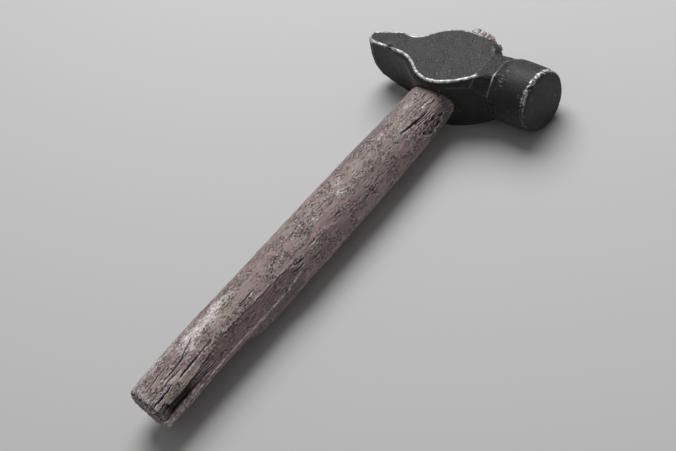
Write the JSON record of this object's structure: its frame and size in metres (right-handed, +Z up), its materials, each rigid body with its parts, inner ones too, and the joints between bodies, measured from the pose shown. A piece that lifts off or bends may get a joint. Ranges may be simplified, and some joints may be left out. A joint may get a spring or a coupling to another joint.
{
  "type": "cross-peen hammer",
  "caption": "Short-handled blacksmith's hammer: forged steel head with a round striking face and a drooping cross peen, wedged on a worn wooden handle.",
  "frame": {"origin": "on the cheek that the hammer lies on, right under the point where the handle's axis meets the axis of the striking end", "axes": "+X along the head towards the striking face, +Y up the handle from butt to head, +Z up, through the cheeks"},
  "size_m": [0.1321, 0.317, 0.041],
  "materials": {
    "forged_steel": "dark forged scale, polished bright along worn edges",
    "weathered_wood": "grey-brown, weathered, cracked and dry",
    "wedge_wood": "dry end grain, a little paler than the handle",
    "wedge_steel": "dark, lightly rusted"
  },
  "bodies": {
    "root": {"head": "forged_steel", "handle": "weathered_wood", "wooden_wedge": "wedge_wood", "steel_wedge_face_side": "wedge_steel", "steel_wedge_peen_side": "wedge_steel"}
  },
  "joints": []
}
